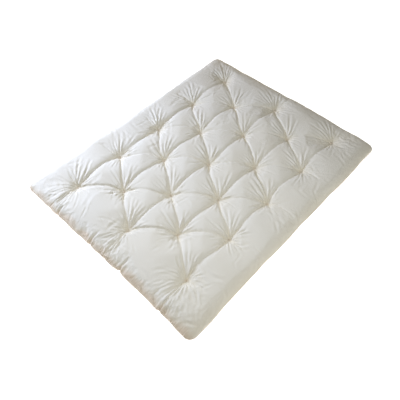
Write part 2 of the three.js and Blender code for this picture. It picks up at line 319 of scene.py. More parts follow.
def shift_corners(x, y):
    """Moves the strips outside the ties, so that the outline isn't a true rectangle."""
    tied_x, tied_y = np.abs(TUFTS).max(axis=0) + 0.02
    moved_x, moved_y = x, y
    for side_x, side_y, shift_x, shift_y in CORNER_SHIFTS:
        past_x = np.clip((side_x * x - tied_x) / (HALF_LENGTH - tied_x), 0, 1) ** 1.5
        past_y = np.clip((side_y * y - tied_y) / (HALF_WIDTH - tied_y), 0, 1) ** 1.5
        along_x = np.clip((side_x * x - 0.1) / (HALF_LENGTH - 0.1), 0, 1) ** 1.5
        along_y = np.clip((side_y * y - 0.1) / (HALF_WIDTH - 0.1), 0, 1) ** 1.5
        moved_x = moved_x + shift_x * past_x * along_y
        moved_y = moved_y + shift_y * past_y * along_x
    return moved_x, moved_y


class Casing:
    """One panel as a grid over its flat plan, laid round the filling and drawn in at the ties."""

    def __init__(self, sizes, side, cell):
        self.sizes = sizes
        self.side = side
        crown = sizes.crown if side > 0 else 0.0
        self.rise = crown - SEAM_HEIGHT
        self.ends = Roll(sizes.end_inset, self.rise, sizes.edge_power, HALF_LENGTH)
        self.sides = Roll(sizes.side_inset, self.rise, sizes.edge_power, HALF_WIDTH)
        self.half_p = self.ends.half_flat
        self.half_q = self.sides.half_flat
        self.columns = 4 * round(self.half_p / cell / 2)
        self.rows = 4 * round(self.half_q / cell / 2)

    def axes(self, join=1):
        p = np.linspace(-self.half_p, self.half_p, self.columns // join + 1)
        q = np.linspace(-self.half_q, self.half_q, self.rows // join + 1)
        return p, q

    def lay(self, p, q, outline):
        """The smooth sheet before any tie is drawn: x, y and z for each point of the grid."""
        place_x, high_x, low_x = self.ends.place(p)
        place_y, high_y, low_y = self.sides.place(q)
        x, y = np.meshgrid(place_x, place_y)
        draw_x, draw_y = outline(p, q)
        x = x - np.sign(x) * low_x[None, :] ** 1.5 * draw_x * high_y[:, None] ** 0.5
        y = y - np.sign(y) * low_y[:, None] ** 1.5 * draw_y * high_x[None, :] ** 0.5
        near_left, near_right, far_right, far_left = self.sizes.corner_radii
        radius = np.where(x < 0, np.where(y < 0, near_left, far_left),
                          np.where(y < 0, near_right, far_right))
        square_x, square_y = HALF_LENGTH - radius, HALF_WIDTH - radius
        past_x = np.clip((np.abs(x) - square_x) / radius, 0, 1)
        past_y = np.clip((np.abs(y) - square_y) / radius, 0, 1)
        round_x = square_x + radius * past_x * np.sqrt(1 - past_y ** 2 / 2)
        round_y = square_y + radius * past_y * np.sqrt(1 - past_x ** 2 / 2)
        x = np.where(past_x > 0, np.sign(x) * round_x, x)
        y = np.where(past_y > 0, np.sign(y) * round_y, y)
        x, y = shift_corners(x, y)
        tied_y = np.abs(TUFTS[:, 1]).max()
        past_ties = np.clip((-y - tied_y) / (HALF_WIDTH - tied_y), 0, 1)
        slump = self.sizes.slump if self.side > 0 else 0
        slumped = 1 - slump * past_ties ** 2
        z = SEAM_HEIGHT + self.rise * slumped * high_x[None, :] * high_y[:, None]
        return np.stack([x, y, z], axis=2)


def normals(grid):
    across = np.gradient(grid, axis=1)
    down = np.gradient(grid, axis=0)
    normal = np.cross(across, down)
    return normal / (np.linalg.norm(normal, axis=2, keepdims=True) + 1e-12)


def waves(p, q, seed, size, count=10):
    """A gentle random swell of the surface, between about -1 and 1."""
    draw = np.random.default_rng(seed)
    total = np.zeros((len(q), len(p)))
    for _ in range(count):
        heading, phase = draw.uniform(0, 2 * math.pi, 2)
        length = size * draw.uniform(0.6, 1.6)
        wave_p = p[None, :] * math.cos(heading) / length
        wave_q = q[:, None] * math.sin(heading) / length
        total += np.sin(2 * math.pi * (wave_p + wave_q) + phase)
    return total / math.sqrt(count)


# Where the closed end is puckered most, as places along the width, and how far it is drawn in
PUCKERS = [(0.45, 0.010), (0.11, 0.013), (-0.04, 0.008), (-0.175, 0.013), (-0.545, 0.011)]


def outline_draw(p, q):
    """How far the seam is drawn in at each place along the ends, and along the sides."""
    tuft_p, tuft_q = np.unique(TUFTS[:, 0].round(4)), np.unique(TUFTS[:, 1].round(4))
    draw = np.random.default_rng(5)

    def wander(along, size, depth):
        total = np.zeros_like(along)
        for _ in range(6):
            length = size * draw.uniform(0.5, 1.8)
            total += np.sin(2 * math.pi * along / length + draw.uniform(0, 2 * math.pi))
        return depth * (total / math.sqrt(6) + 1.2)

    closed = wander(q, 0.16, 0.003)
    pucker_width = 0.014
    for place, depth in PUCKERS:
        closed += depth * np.exp(-np.abs(q - place) / pucker_width)
    folded = wander(q, 0.4, 0.002)
    near, far = wander(p, 0.45, 0.002), wander(p, 0.45, 0.002)
    for place in tuft_q[::2]:
        folded += 0.005 * np.exp(-((q - place - draw.uniform(-0.03, 0.03)) / 0.04) ** 2)
    for place in tuft_p[::2]:
        near += 0.003 * np.exp(-((p - place - draw.uniform(-0.03, 0.03)) / 0.06) ** 2)
        far += 0.003 * np.exp(-((p - place - draw.uniform(-0.03, 0.03)) / 0.06) ** 2)
    closed -= 0.005
    far -= 0.010 * np.exp(-((p + 0.55) / 0.35) ** 2)
    draw_x = np.where(p[None, :] < 0, closed[:, None], folded[:, None])
    draw_y = np.where(q[:, None] < 0, near[None, :], far[None, :])
    return draw_x, draw_y


def looseness(p):
    """How slack the cloth is along the mattress: less so towards the folded end."""
    return span(1.13, 0.55, np.clip(p / HALF_LENGTH, 0, 1))[None, :]


# A crease reaches this far to each side, is this blunt on its line, and is deepened to make up
CREASE_SIDE = 0.06
CREASE_BLUNT = 0.006
CREASE_GAIN = 1.08


def valley_depth(casing, p, q):
    """How deep the dimples and creases go, over the whole grid."""
    sizes = casing.sizes
    draw = np.random.default_rng(11)
    top = casing.side > 0
    full = sizes.crown - TUFT_TOP if top else TUFT_UNDER
    share = 1.0 if top else TUFT_UNDER / (sizes.crown - TUFT_TOP)
    funnel = np.zeros((len(q), len(p)))
    for tuft in TUFTS:
        reach = sizes.dimple * draw.uniform(0.94, 1.06)
        window = grid_window(p, q, tuft[:1], tuft[1:], reach)
        away = away_from(tuft, p[window[1]], q[window[0]])
        shape = 0.68 * puff(away / reach, 1.5) + 0.32 * puff(away / sizes.pinch, 0.8)
        funnel[window] += (full * shape) ** 3
    funnel = funnel ** (1 / 3)
    extra = np.zeros_like(funnel)

    def crease(start, end, middle, bow, sway, last, held=0.75):
        reach = CREASE_SIDE * draw.uniform(0.85, 1.15)
        window, along, across = Fold(start, end, bow, sway).place(p, q, reach)
        inside = np.clip(along, 0, 1)
        near = np.minimum(inside, 1 - inside) if last else inside
        depth = share * middle * (held + (1.25 - held) * np.clip(1 - 3 * near, 0, 1))
        depth = depth if last else depth * (1 - inside) ** 0.8
        past = np.maximum(-along, along - 1).clip(0) * np.hypot(*(np.array(end) - start))
        away = np.sqrt(across ** 2 + past ** 2 + CREASE_BLUNT ** 2)
        valley = depth * puff(away / reach, 0.6) * CREASE_GAIN
        extra[window] = np.maximum(extra[window], valley)

    for n, m, kind in neighbours():
        middle = sizes.row_crease if kind == "row" else sizes.diagonal_crease
        middle *= draw.uniform(0.7, 1.25)
        held = {"row": 0.75, "rising": 0.6, "falling": 0.35}[kind]
        crease(TUFTS[n], TUFTS[m], middle, *BENDS[n, m], True, held)
    for n, end in edge_ends():
        at_end = abs(end[0]) > HALF_LENGTH - 0.001
        middle = (0.012 if at_end else 0.005) * draw.uniform(0.7, 1.2)
        reach = draw.uniform(0.45, 0.75)
        stop = TUFTS[n] + (np.array(end) - TUFTS[n]) * reach + draw.uniform(-0.03, 0.03, 2)
        crease(TUFTS[n], stop, middle, draw.uniform(-0.02, 0.02), 0.0, False)
    return np.minimum(funnel + extra * looseness(p), full)


# How many shallow folds lie over a panel
SLACK_COUNT = 520


def add_pleat(relief, p, q, fold, depth, width, spread, start_fade, ridge=0.6):
    """Presses a narrow pleat into the relief: a sharp valley between two raised rims."""
    window, along, across = fold.place(p, q, width * 6)
    inside = np.clip(along, 0, 1)
    fade = np.clip(inside * fold.length / start_fade, 0, 1) * np.clip(1 - along, 0, 1) ** 0.65
    fade = np.where(along < 0, 0, fade)
    wide = width + spread * inside * fold.length
    valley = np.exp(-np.abs(across) / wide)
    rim = np.exp(-((np.abs(across) / wide - 2.0)) ** 2)
    relief[window] += depth * fade * (ridge * rim - valley)


def tie_pleats(casing, p, q):
    """The pleats that run out from each tie, between its creases."""
    draw = np.random.default_rng(23)
    relief = np.zeros((len(q), len(p)))
    away_heading = math.radians(48)
    for tuft, angles in zip(TUFTS, headings()):
        for n, angle in enumerate(angles):
            following = angles[(n + 1) % len(angles)]
            gap = (following - angle) % (2 * math.pi)
            facing = max(0.0, math.cos(angle + gap / 2 - away_heading))
            spacing = span(15, 9, facing) * draw.uniform(0.85, 1.2)
            count = max(1, round(gap / math.radians(spacing))) - 1
            for k in range(count):
                heading = angle + gap * (k + 1 + draw.uniform(-0.25, 0.25)) / (count + 1)
                facing = max(0.0, math.cos(heading - away_heading))
                length = draw.uniform(0.055, 0.15) * (1 + 0.8 * facing)
                depth = casing.sizes.pleat * draw.uniform(0.3, 0.85) * span(0.8, 1.0, facing)
                end = tuft + pointing(heading) * length
                fold = Fold(tuft, end, bow=draw.uniform(-0.010, 0.010))
                add_pleat(relief, p, q, fold, depth,
                          width=0.0022, spread=0.032, start_fade=0.035, ridge=0.85)
    for n, m, kind in neighbours():
        step = TUFTS[m] - TUFTS[n]
        for tuft, run in ((TUFTS[n], step), (TUFTS[m], -step)):
            along = math.atan2(run[1], run[0])
            for _ in range(draw.integers(1, 5 if kind == "falling" else 3)):
                heading = along + draw.uniform(-1, 1) * (0.14 if kind == "rising" else 0.30)
                end = tuft + pointing(heading) * draw.uniform(0.10, 0.19)
                fold = Fold(tuft, end, bow=draw.uniform(-0.012, 0.012))
                depth = casing.sizes.pleat * draw.uniform(0.25, 0.55)
                add_pleat(relief, p, q, fold, depth, width=0.003, spread=0.030, start_fade=0.03)
    return relief


def slack_folds(casing, p, q):
    """Shallow folds all over the pillows, most of them pointing towards the nearest tie."""
    draw = np.random.default_rng(47)
    relief = np.zeros((len(q), len(p)))
    for _ in range(SLACK_COUNT):
        start = draw.uniform(-1, 1, 2) * (casing.half_p - 0.02, casing.half_q - 0.02)
        steps = TUFTS - start
        nearest = steps[np.hypot(*steps.T).argmin()]
        heading = math.atan2(nearest[1], nearest[0]) + draw.normal(0, 0.45)
        end = start + pointing(heading) * draw.uniform(0.06, 0.17)
        fold = Fold(start, end, bow=draw.uniform(-0.012, 0.012))
        depth = casing.sizes.slack * draw.uniform(0.3, 1.0)
        add_pleat(relief, p, q, fold, depth,
                  width=draw.uniform(0.004, 0.010), spread=0.02, start_fade=0.05, ridge=0.8)
    tied_y = np.abs(TUFTS[:, 1]).max()
    past_ties = np.clip((-q - tied_y) / 0.05, 0, 1)
    return relief * (1 + 0.3 * past_ties[:, None])


def crease_lines(casing, p, q):
    """The sharp fold down the middle of each crease, with one side tucked under the other."""
    draw = np.random.default_rng(31)
    relief = np.zeros((len(q), len(p)))
    depths = {"row": 0.0045, "rising": 0.0060, "falling": 0.0022}
    line_blunt, line_width, line_gain = 0.003, 0.004, 1.6
    tuck_width, tuck_side = 0.005, 0.022
    for n, m, kind in neighbours():
        window, along, across = Fold(TUFTS[n], TUFTS[m], *BENDS[n, m]).place(p, q, 0.06)
        inside = np.clip(along, 0, 1)
        swell = np.sin(math.pi * inside)
        lean = draw.choice([-1, 1]) * draw.uniform(0.001, 0.003)
        sharp = depths[kind] * draw.uniform(0.7, 1.2)
        tuck = np.tanh(across / tuck_width) * np.exp(-np.abs(across) / tuck_side)
        line = np.exp(-np.hypot(across, line_blunt) / line_width) * line_gain
        relief[window] += lean * swell * tuck
        relief[window] -= sharp * swell ** 0.3 * line
    return relief


def seam_gathers(relief, sizes, p, q, seam, ends, draw):
    """Short gathers all along the closed end, longer and more slanted near a tie."""
    place = -HALF_WIDTH
    while place < HALF_WIDTH:
        place += draw.uniform(0.010, 0.024)
        start = np.array([seam, place])
        towards = ends[np.abs(ends[:, 1] - place).argmin()] - start
        drawn = abs(towards[1]) < 0.12
        lean = draw.uniform(0.35, 0.8) if drawn else draw.uniform(-0.1, 0.2)
        length = draw.uniform(0.08, 0.17) if drawn else draw.uniform(0.035, 0.085)
        end = start + np.array([length, towards[1] / towards[0] * length * lean])
        depth = sizes.gather * draw.uniform(0.3, 1.0)
        fold = Fold(start, end, bow=draw.uniform(-0.004, 0.004))
        add_pleat(relief, p, q, fold, depth, width=0.0025, spread=0.008, start_fade=0.004)


def closing_gathers(casing, p, q):
    """The gathers of the hand-closed end: along its seam, from each tie, and between the two."""
    draw = np.random.default_rng(41)
    relief = np.zeros((len(q), len(p)))
    sizes = casing.sizes
    seam = -casing.half_p
    ends = TUFTS[TUFTS[:, 0] < TUFTS[:, 0].min() + 0.001]
    seam_gathers(relief, sizes, p, q, seam, ends, draw)
    fans = 9
    for tuft in ends:
        for k in range(fans):
            share = (k + draw.uniform(0.2, 0.8)) / fans
            end = np.array([seam, tuft[1] + span(-0.17, 0.14, share)])
            end = tuft + (end - tuft) * draw.uniform(0.7, 1.0)
            fold = Fold(tuft, end, bow=draw.uniform(-0.014, 0.014))
            depth = sizes.pleat * draw.uniform(0.25, 0.7)
            add_pleat(relief, p, q, fold, depth, width=0.0025, spread=0.016, start_fade=0.02)
    deepest = 0.0055
    for tuft in ends:
        for _ in range(3):
            at_seam = np.array([seam, tuft[1] + draw.uniform(-0.10, 0.03)])
            bow = draw.uniform(-0.012, 0.012)
            depth = draw.uniform(0.6, 1.0) * deepest
            for fold, fade in ((Fold(at_seam, tuft, bow), 0.004), (Fold(tuft, at_seam, -bow), 0.03)):
                add_pleat(relief, p, q, fold, depth,
                          width=0.0028, spread=0.006, start_fade=fade, ridge=0.5)
    for place, depth in PUCKERS:
        start = np.array([seam, place])
        end = start + np.array([0.13, draw.uniform(-0.02, 0.02)])
        add_pleat(relief, p, q, Fold(start, end, bow=0.006), depth * 0.6,
                  width=0.007, spread=0.02, start_fade=0.004, ridge=0.5)
    return relief


def shape_panel(casing, p, q):
    """The panel's outer surface with its valleys, before the simulation and the fine folds."""
    grid = casing.lay(p, q, outline_draw)
    normal = normals(grid)
    depth = valley_depth(casing, p, q)
    swell_height = 0.0022
    swell = swell_height * waves(p, q, 3, 0.5)
    still = np.clip(1 - depth / depth.max(), 0, 1)
    rolled = np.clip((grid[..., 2] - SEAM_HEIGHT) / casing.rise, 0, 1)
    if casing.side > 0:
        move = -depth + swell * still * rolled
        return grid + normal * move[..., None]
    grid[..., 2] += depth * rolled
    return grid


# The folds stop this near a tie and this near the seam, and are deepened to make up for softening
STILL_RADIUS = 0.009
EDGE_FADE = 0.006
FOLD_GAIN = 1.3


def soften(relief):
    """Evens out a relief over each point's neighbours, so that slanting folds show no steps."""
    for axis in (0, 1):
        ahead = np.roll(relief, 1, axis)
        behind = np.roll(relief, -1, axis)
        relief = 0.5 * relief + 0.25 * (ahead + behind)
    return relief


def fine_folds(casing, p, q, grid):
    """Moves the panel's surface by all its pleats, folds, crease lines and gathers."""
    relief = tie_pleats(casing, p, q) + slack_folds(casing, p, q)
    relief = (relief + crease_lines(casing, p, q)) * looseness(p)
    relief += closing_gathers(casing, p, q)
    if casing.side < 0:
        relief *= 0.5
    still = np.ones_like(relief)
    for tuft in TUFTS:
        away = away_from(tuft, p, q)
        still *= 1 - np.exp(-(away / STILL_RADIUS) ** 4)
    edge_p = np.clip((casing.half_p - np.abs(p)) / EDGE_FADE, 0.25, 1)
    edge_q = np.clip((casing.half_q - np.abs(q)) / EDGE_FADE, 0.25, 1)
    relief = FOLD_GAIN * soften(relief) * still * edge_p[None, :] * edge_q[:, None]
    return grid + normals(grid) * casing.side * relief[..., None]


# Meshes

def grid_mesh(name, grid, p, q, side):
    """A mesh over a grid of points, with the flat sheet's own metres as its UV map."""
    rows, columns = grid.shape[:2]
    bm = bmesh.new()
    bmesh.ops.create_grid(bm, x_segments=columns - 1, y_segments=rows - 1, size=1)
    if side < 0:
        bmesh.ops.reverse_faces(bm, faces=bm.faces)
    piece = add_mesh(name, bm)
    mesh = piece.data
    mesh.vertices.foreach_set("co", grid.astype(np.float32).ravel())
    flat = np.stack(np.meshgrid(p, q), axis=2).reshape(-1, 2)
    corners = np.zeros(len(mesh.loops), np.int32)
    mesh.loops.foreach_get("vertex_index", corners)
    layer = mesh.uv_layers.new(name="sheet")
    layer.data.foreach_set("uv", flat[corners].astype(np.float32).ravel())
    mesh.shade_smooth()
    mesh.update()
    return piece


def paint_shade_marks(piece, casing, p, q):
    """Paints shade into the cloth: in the pit of each tie, and low down beside the seam."""
    shade_marks = np.zeros((len(q), len(p)))
    pit, at_seam = 0.011, 0.8
    for tuft in TUFTS:
        away = away_from(tuft, p, q)
        shade_marks = np.maximum(shade_marks, np.exp(-(away / pit) ** 2))
    in_p = casing.half_p - np.abs(p)
    in_q = casing.half_q - np.abs(q)
    from_seam = np.minimum(in_p[None, :], in_q[:, None])
    wide = 0.016 if casing.side > 0 else 0.05
    shade_marks = np.maximum(shade_marks, at_seam * np.clip((wide - from_seam) / wide * 2, 0, 1))
    layer = piece.data.attributes.new("painted_shade", "FLOAT", "POINT")
    layer.data.foreach_set("value", shade_marks.astype(np.float32).ravel())


def points_of(mesh, shape):
    points = np.zeros(len(mesh.vertices) * 3, np.float32)
    mesh.vertices.foreach_get("co", points)
    return points.reshape(*shape, 3).astype(float)


def simulate(grid, p, q, casing, steps=20):
    """Lets the panel swell and crumple as cloth, held at its ties and along its seam."""
    trial = grid_mesh("trial", grid, p, q, casing.side)
    flat_p, flat_q = np.meshgrid(p, q)
    held_radius, taut_radius, near = 0.012, 0.07, 1e-6
    held = (np.abs(flat_p) > casing.half_p - near) | (np.abs(flat_q) > casing.half_q - near)
    for tuft in TUFTS:
        held |= away_from(tuft, p, q) < held_radius
    group = trial.vertex_groups.new(name="held")
    group.add(np.flatnonzero(held.ravel()).tolist(), 1.0, "REPLACE")
    from_side = np.minimum(casing.half_q - np.abs(flat_q), casing.half_p - flat_p)
    full = span(0.04, 0.24, np.clip((from_side - 0.10) / 0.10, 0, 1))
    full = np.maximum(full, 0.15 * np.clip((0.16 - casing.half_p - flat_p) / 0.16, 0, 1))
    for tuft in TUFTS:
        away = away_from(tuft, p, q)
        full = np.maximum(full, 0.8 * np.exp(-(away / taut_radius) ** 2))
    taut = trial.vertex_groups.new(name="taut")
    levels = 25
    for level in range(levels + 1):
        members = np.flatnonzero(np.round((1 - full.ravel()) * levels) == level)
        taut.add(members.tolist(), level / levels, "REPLACE")
    cloth = trial.modifiers.new("cloth", "CLOTH")
    settings = cloth.settings
    settings.vertex_group_mass = "held"
    settings.quality = 4
    settings.mass = 0.0008
    settings.air_damping = 2.0
    settings.tension_stiffness = settings.compression_stiffness = 15
    settings.shear_stiffness = 8
    settings.bending_stiffness = 0.05
    settings.vertex_group_shrink = "taut"
    settings.shrink_min = -0.07
    settings.shrink_max = 0.0
    settings.use_pressure = True
    settings.uniform_pressure_force = 0.4
    settings.effector_weights.gravity = 0
    cloth.collision_settings.use_collision = False
    cloth.point_cache.frame_start = 1
    cloth.point_cache.frame_end = steps
    for step in range(1, steps + 1):
        bpy.context.scene.frame_set(step)
    shown = trial.evaluated_get(bpy.context.evaluated_depsgraph_get())
    swollen = points_of(shown.data, grid.shape[:2])
    bpy.context.scene.frame_set(1)
    bpy.data.objects.remove(trial)
    move = swollen - grid
    reach = np.linalg.norm(move, axis=2, keepdims=True)
    farthest = 0.0085
    return move * np.minimum(1, farthest / np.maximum(reach, 1e-9))


def finer(field, rows, columns):
    """The field at a finer grid's points."""
    at_row = np.linspace(0, field.shape[0] - 1, rows)
    at_column = np.linspace(0, field.shape[1] - 1, columns)
    row = np.minimum(at_row.astype(int), field.shape[0] - 2)
    column = np.minimum(at_column.astype(int), field.shape[1] - 2)
    share_row = (at_row - row)[:, None, None]
    share_column = (at_column - column)[None, :, None]

    def between(rows):
        return rows[:, column] * (1 - share_column) + rows[:, column + 1] * share_column

    return between(field[row]) * (1 - share_row) + between(field[row + 1]) * share_row


# Each finished panel, by its side: its casing and its grid of points
PANELS = {}


def make_panel(sizes, side):
    cell = sizes.cell if side > 0 else sizes.cell * 2
    casing = Casing(sizes, side, cell)
    p, q = casing.axes()
    grid = shape_panel(casing, p, q)
    loose_p, loose_q = casing.axes(sizes.loose_cells)
    loose = shape_panel(casing, loose_p, loose_q)
    grid = grid + finer(simulate(loose, loose_p, loose_q, casing), *grid.shape[:2])
    grid = fine_folds(casing, p, q, grid)
    grid[..., 2] = np.maximum(grid[..., 2], FLOOR_GAP)
    PANELS[side] = (casing, grid)
    name = "casing_top" if side > 0 else "casing_bottom"
    piece = grid_mesh(name, grid, p, q, side)
    # Painted shade in the ties' pits and along the foot of the seam
    paint_shade_marks(piece, casing, p, q)
    wall = piece.modifiers.new("cloth", "SOLIDIFY")
    wall.thickness = sizes.cloth
    wall.offset = -1
    wall.use_rim = True
    return piece


# The filling

BATT_COUNT = 4


def filling_plan():
    """The lines of the batts' grid. A line runs through every tuft, and the border keeps inside."""
    border = 0.022

    def lines(at, half):
        steps = 10
        tufts = np.unique(at.round(5))
        step = (tufts[1] - tufts[0]) / steps
        first = math.ceil((border + step / 2 - half - tufts[0]) / step)
        last = math.floor((half - border - step / 2 - tufts[0]) / step)
        inner = tufts[0] + step * np.arange(first, last + 1)
        return np.concatenate([[border - half], inner, [half - border]])

    return lines(TUFTS[:, 0], HALF_LENGTH), lines(TUFTS[:, 1], HALF_WIDTH)


def inner_limit(side, x, y):
    """How high the filling may reach under the top panel, or how low over the bottom one."""
    casing, grid = PANELS[side]
    points = grid.reshape(-1, 3)
    moved_x, moved_y = shift_corners(points[:, 0], points[:, 1])
    place_x, place_y = 2 * points[:, 0] - moved_x, 2 * points[:, 1] - moved_y
    column = np.clip(np.searchsorted((x[1:] + x[:-1]) / 2, place_x), 0, len(x) - 1)
    row = np.clip(np.searchsorted((y[1:] + y[:-1]) / 2, place_y), 0, len(y) - 1)
    none = side * 1.0
    limit = np.full((len(y), len(x)), none)
    keep = np.minimum if side > 0 else np.maximum
    keep.at(limit, (row, column), points[:, 2])
    limit[limit == none] = SEAM_HEIGHT
    return limit - side * (casing.sizes.cloth + 0.001)


def make_batt(layer, x, y, under, over):
    """One layer of wadding: two fluffy faces, a blunt border and a hole at each tie."""
    name = f"batt_{layer + 1}"
    gap, thinnest, hole = 0.0006, 0.001, 0.004
    under_fluff = gap * (1 + 0.5 * waves(x, y, 50 + layer, 0.09))
    over_fluff = gap * (1 + 0.5 * waves(x, y, 60 + layer, 0.07))
    low = span(under, over, layer / BATT_COUNT) + under_fluff
    high = span(under, over, (layer + 1) / BATT_COUNT) - over_fluff
    high = np.maximum(high, low + thinnest)
    bm = bmesh.new()
    bmesh.ops.create_grid(bm, x_segments=len(x) - 1, y_segments=len(y) - 1, size=1)
    bm.verts.ensure_lookup_table()
    flat_x, flat_y = np.meshgrid(x, y)
    plan = np.stack([flat_x, flat_y], axis=2).reshape(-1, 2)
    lower, upper = list(bm.verts), {}
    for vert, (at_x, at_y) in zip(lower, plan):
        vert.co = (at_x, at_y, 0)
    bmesh.ops.reverse_faces(bm, faces=bm.faces)
    grown = bmesh.ops.extrude_face_region(bm, geom=bm.faces[:], use_keep_orig=True)
    for part in grown["geom"]:
        if isinstance(part, bmesh.types.BMVert):
            upper[(round(part.co.x, 5), round(part.co.y, 5))] = part
    pierced = []
    tufts = {(round(at[0], 4), round(at[1], 4)) for at in TUFTS}
    for vert, (at_x, at_y), bottom, top in zip(lower, plan, low.ravel(), high.ravel()):
        above = upper[(round(at_x, 5), round(at_y, 5))]
        place_x, place_y = shift_corners(at_x, at_y)
        vert.co = (place_x, place_y, bottom)
        above.co = (place_x, place_y, top)
        if (round(at_x, 4), round(at_y, 4)) in tufts:
            pierced += [vert, above]
    bmesh.ops.recalc_face_normals(bm, faces=bm.faces)
    cut = bmesh.ops.bevel(bm, geom=pierced, offset=hole, affect="VERTICES", segments=1,
                          profile=0.5, material=-1)
    holes = {}
    for face in cut["faces"]:
        middle = face.calc_center_median()
        holes.setdefault((round(middle.x, 2), round(middle.y, 2)), []).append(face)
    for pair in holes.values():
        edges = [edge for face in pair for edge in face.edges]
        bmesh.ops.delete(bm, geom=pair, context="FACES_ONLY")
        bmesh.ops.bridge_loops(bm, edges=edges)
    bmesh.ops.recalc_face_normals(bm, faces=bm.faces)
    piece = add_mesh(name, bm)
    piece.data.shade_smooth()
    return piece


# Twine

def twine_profile(strand, plies):
    """The section of a strand: two plies side by side, or a plain round of few sides."""
    data = bpy.data.curves.new("section", "CURVE")
    line = data.splines.new("POLY")
    sides = 8 if plies else 5
    turns = [2 * math.pi * n / sides for n in range(sides)]
    line.points.add(len(turns) - 1)
    for point, turn in zip(line.points, turns):
        reach = strand * (0.80 + 0.28 * math.cos(2 * turn)) if plies else strand
        point.co = (reach * math.cos(turn), reach * math.sin(turn), 0, 1)
    line.use_cyclic_u = True
    return add_object("section", data)


def smooth_path(corners, step):
    """Evenly spaced points on a smooth curve through the corners."""
    corners = np.array(corners, float)
    ends = np.vstack([2 * corners[0] - corners[1], corners, 2 * corners[-1] - corners[-2]])
    path = []
    for a, b, c, d in zip(ends, ends[1:], ends[2:], ends[3:]):
        count = max(2, round(float(np.linalg.norm(c - b)) / step))
        for share in np.arange(count)[:, None] / count:
            curve = 2 * b + (c - a) * share + (2 * a - 5 * b + 4 * c - d) * share ** 2
            path.append((curve + (3 * b - a - 3 * c + d) * share ** 3) / 2)
    return np.vstack([*path, corners[-1:]])


def twine_piece(name, paths, strand, twist=None):
    """A mesh of twine along each path. A path that ends where it starts is a closed loop."""
    section = twine_profile(strand, twist is not None)
    data = bpy.data.curves.new(name, "CURVE")
    data.dimensions = "3D"
    data.bevel_mode = "OBJECT"
    data.bevel_object = section
    data.use_fill_caps = True
    for path in paths:
        closed = np.linalg.norm(path[0] - path[-1]) < 1e-7
        points = path[:-1] if closed else path
        line = data.splines.new("POLY")
        line.points.add(len(points) - 1)
        line.points.foreach_set("co", np.hstack([points, np.ones((len(points), 1))]).ravel())
        if twist is not None:
            line.points.foreach_set("tilt", 2 * math.pi * run_along(points) / twist)
        line.use_cyclic_u = closed
    route = add_object(name + "_route", data)
    shown = route.evaluated_get(bpy.context.evaluated_depsgraph_get())
    mesh = bpy.data.meshes.new_from_object(shown)
    mesh.name = name
    bpy.data.objects.remove(route)
    bpy.data.objects.remove(section)
    bm = bmesh.new()
    bm.from_mesh(mesh)
    bmesh.ops.remove_doubles(bm, verts=bm.verts, dist=1e-6)
    bmesh.ops.recalc_face_normals(bm, faces=bm.faces)
    bm.to_mesh(mesh)
    bm.free()
    mesh.shade_smooth()
    return add_object(name, mesh)


def height_at(side, x, y):
    """The height of a panel's outer face near a place."""
    grid = PANELS[side][1]
    away = np.hypot(grid[..., 0] - x, grid[..., 1] - y)
    return float(grid[..., 2].ravel()[away.argmin()])


def tie_paths(sizes, tuft, draw):
    """The strands of a tie: a doubled loop through the mattress, the knot and two cut ends."""
    step = 0.0011
    heading = math.radians(draw.uniform(46, 60))
    reach = sizes.stitch * draw.uniform(0.85, 1.2)
    top = height_at(1, *tuft) + sizes.strand * 1.6
    under = height_at(-1, *tuft) - sizes.knot * 0.75
    along = np.array([math.cos(heading), math.sin(heading), 0])
    side = np.array([-math.sin(heading), math.cos(heading), 0])
    centre = np.array([*tuft, 0])

    def at(run, off, height):
        return centre + along * run + side * off + np.array([0, 0, height])

    paths = []
    for off in (-1, 1):
        gap = off * sizes.strand * 0.9
        lift = 0.0006 if off > 0 else 0.0
        leg = [(0.0018, under), (0.0022, TUFT_UNDER + 0.004), (0.0026, top - 0.010)]
        turn = [(reach * 0.75, top - 0.003), (reach, top - 0.0008)]
        half = [*leg, *turn, (reach * 0.8, top + 0.0006 + lift)]
        corners = [at(run, gap, height) for run, height in half]
        corners.append(at(0, gap * 0.8, top + 0.0004 + lift))
        corners += [at(-run, gap, height) for run, height in reversed(half)]
        paths.append(smooth_path(corners, step))
    size = (sizes.knot - sizes.strand) / 3
    crossing, tail_height = 0.0019, 0.0035
    turns = np.linspace(0, 2 * math.pi, 46)
    loop = [
        at(size * (math.sin(t) + 2 * math.sin(2 * t)), size * (math.cos(t) - 2 * math.cos(2 * t)),
           under - crossing * math.sin(3 * t))
        for t in turns
    ]
    loop[-1] = loop[0]
    paths.append(np.array(loop))
    for way in (-1, 1):
        bend = draw.uniform(-0.5, 0.9)
        corners = [at(way * 0.001, 0, under)]
        for share in (0.3, 0.65, 1.0):
            run = way * (sizes.knot * 0.6 + sizes.tail * share * draw.uniform(0.9, 1.05))
            off = sizes.tail * 0.5 * bend * share ** 1.6
            corners.append(at(run, off, span(under, tail_height, share ** 0.8)))
        paths.append(smooth_path(corners, step))
    return paths


def closing_paths(sizes):
    """Small slanting stitches over the edge of the end that was closed by hand."""
    draw = np.random.default_rng(61)
    seam = PANELS[1][1][:, 0]
    seam = seam[np.abs(seam[:, 1]) < HALF_WIDTH - 0.045]
    length = run_along(seam)
    paths = []
    place = sizes.closing_pitch
    while place < length[-1] - sizes.closing_pitch:
        here = [np.interp(place, length, seam[:, axis]) for axis in range(3)]
        reach = sizes.closing_reach * draw.uniform(0.8, 1.25)
        slant = draw.uniform(0.0018, 0.0032)
        lift = sizes.strand * 0.6
        corners = [
            (reach, -slant, reach * 0.80), (reach * 0.5, -slant * 0.6, reach * 0.62 + lift),
            (-lift, 0, lift), (reach * 0.25, slant * 0.6, -reach * 0.45 - lift),
            (reach * 0.9, slant, -reach * 0.6),
        ]
        paths.append(np.array(corners) + here)
        place += sizes.closing_pitch * draw.uniform(0.8, 1.2)
    return paths


# Finishes

